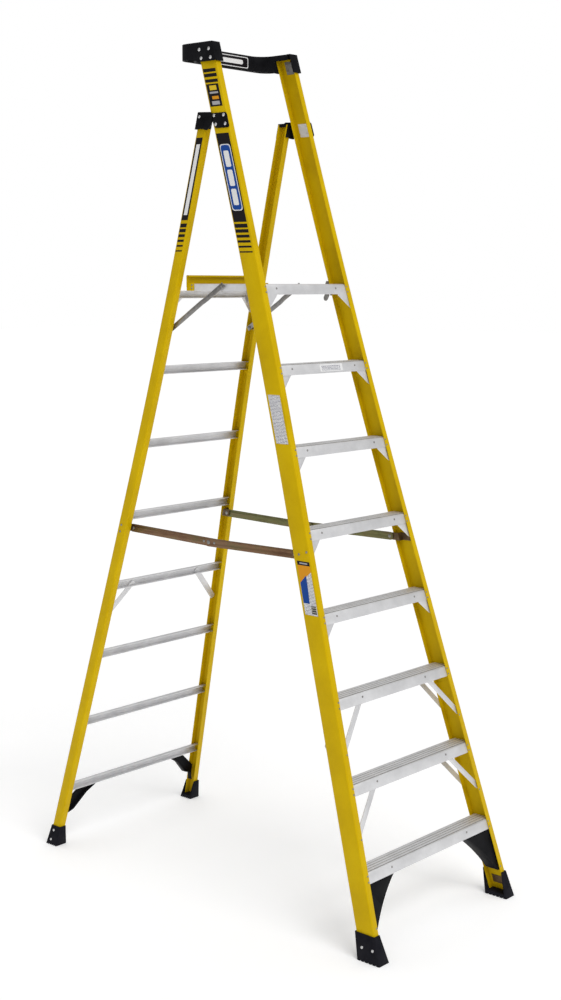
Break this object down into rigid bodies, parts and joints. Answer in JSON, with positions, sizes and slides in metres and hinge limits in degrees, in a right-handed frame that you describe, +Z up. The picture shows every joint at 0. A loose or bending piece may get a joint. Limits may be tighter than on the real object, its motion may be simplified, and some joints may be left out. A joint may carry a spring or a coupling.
{
  "type": "platform step ladder",
  "caption": "Tall folding platform step ladder with flared fibreglass rails, wide aluminium steps, folding platform, spreader bars and a black top guard.",
  "frame": {"origin": "centre of the footprint on the floor, between the four feet", "axes": "+Z up; +Y from the climbing side to the back; +X across the ladder, to the climber's right"},
  "size_m": [0.8926, 1.8624, 3.37],
  "materials": {
    "yellow_fibreglass": "pultruded yellow fibreglass with a satin gloss",
    "aluminium": "extruded mill-finish aluminium",
    "black_plastic": "moulded black plastic with a fine grain",
    "foot_rubber": "black slip-resistant rubber",
    "zinc_steel": "yellow-zinc plated steel bar",
    "steel": "plated steel strip"
  },
  "bodies": {
    "front_frame": {"front_corner_brace_left": "black_plastic", "front_corner_brace_right": "black_plastic", "front_foot_left": "foot_rubber", "front_foot_right": "foot_rubber", "front_rail_left": "yellow_fibreglass", "front_rail_right": "yellow_fibreglass", "gusset_4_left": "aluminium", "gusset_4_right": "aluminium", "gusset_5_left": "aluminium", "gusset_5_right": "aluminium", "gusset_6_left": "aluminium", "gusset_6_right": "aluminium", "gusset_7_left": "aluminium", "gusset_7_right": "aluminium", "hinge_plate_left": "black_plastic", "hinge_plate_right": "black_plastic", "knee_brace_2_left": "aluminium", "knee_brace_2_right": "aluminium", "knee_brace_3_left": "aluminium", "knee_brace_3_right": "aluminium", "platform_beam": "aluminium", "spreader_bracket_front_left": "steel", "spreader_bracket_front_right": "steel", "step_1": "aluminium", "step_2": "aluminium", "step_3": "aluminium", "step_4": "aluminium", "step_5": "aluminium", "step_6": "aluminium", "step_7": "aluminium", "top_guard": "black_plastic"},
    "rear_frame": {"hinge_cap_left": "black_plastic", "hinge_cap_right": "black_plastic", "rear_corner_brace_left": "black_plastic", "rear_corner_brace_right": "black_plastic", "rear_foot_left": "foot_rubber", "rear_foot_right": "foot_rubber", "rear_rail_left": "yellow_fibreglass", "rear_rail_right": "yellow_fibreglass", "rear_top_rung": "aluminium", "rung_1": "aluminium", "rung_2": "aluminium", "rung_3": "aluminium", "rung_4": "aluminium", "rung_5": "aluminium", "rung_6": "aluminium", "rung_7": "aluminium", "rung_brace_left": "aluminium", "rung_brace_right": "aluminium", "spreader_bracket_rear_left": "steel", "spreader_bracket_rear_right": "steel"},
    "platform": {"platform_deck": "aluminium", "toe_board": "yellow_fibreglass"},
    "platform_link_left": {"platform_link_left": "steel"},
    "platform_link_right": {"platform_link_right": "steel"},
    "spreader_front_left": {"spreader_front_left": "zinc_steel"},
    "spreader_front_right": {"spreader_front_right": "zinc_steel"},
    "spreader_rear_left": {"spreader_rear_left": "zinc_steel"},
    "spreader_rear_right": {"spreader_rear_right": "zinc_steel"}
  },
  "joints": [
    {"name": "fold", "type": "hinge", "parent": "front_frame", "child": "rear_frame", "pos_m": [0, 0.0863, 3.091], "axis": [-1, 0, 0], "range_deg": [0, 30]},
    {"name": "platform_tilt", "type": "hinge", "parent": "front_frame", "child": "platform", "pos_m": [0, -0.094, 2.442], "axis": [1, 0, 0], "range_deg": [0, 57]},
    {"name": "spreader_front_pivot_right", "type": "hinge", "parent": "front_frame", "child": "spreader_front_right", "pos_m": [0.2919, -0.3902, 1.432], "axis": [0.9971, 0, 0.0761], "range_deg": [0, 73]},
    {"name": "spreader_rear_pivot_right", "type": "hinge", "parent": "rear_frame", "child": "spreader_rear_right", "pos_m": [0.2847, 0.5153, 1.435], "axis": [-0.9971, 0, -0.0761], "range_deg": [0, 76.5]},
    {"name": "platform_link_pivot_right", "type": "hinge", "parent": "rear_frame", "child": "platform_link_right", "pos_m": [0.2355, 0.3353, 2.26], "axis": [-0.9988, 0, -0.0499], "range_deg": [0, 46.5]},
    {"name": "spreader_front_pivot_left", "type": "hinge", "parent": "front_frame", "child": "spreader_front_left", "pos_m": [-0.2919, -0.3902, 1.432], "axis": [0.9971, 0, -0.0761], "range_deg": [0, 73]},
    {"name": "spreader_rear_pivot_left", "type": "hinge", "parent": "rear_frame", "child": "spreader_rear_left", "pos_m": [-0.2847, 0.5153, 1.435], "axis": [-0.9971, 0, 0.0761], "range_deg": [0, 76.5]},
    {"name": "platform_link_pivot_left", "type": "hinge", "parent": "rear_frame", "child": "platform_link_left", "pos_m": [-0.2355, 0.3353, 2.26], "axis": [-0.9988, 0, 0.0499], "range_deg": [0, 46.5]}
  ],
  "couplings": [
    {"joint": "platform_tilt", "follows": "fold", "ratio": 1.89},
    {"joint": "spreader_front_pivot_right", "follows": "fold", "ratio": 2.42},
    {"joint": "spreader_rear_pivot_right", "follows": "fold", "ratio": 2.53},
    {"joint": "platform_link_pivot_right", "follows": "fold", "ratio": 1.537},
    {"joint": "spreader_front_pivot_left", "follows": "fold", "ratio": 2.42},
    {"joint": "spreader_rear_pivot_left", "follows": "fold", "ratio": 2.53},
    {"joint": "platform_link_pivot_left", "follows": "fold", "ratio": 1.537}
  ]
}
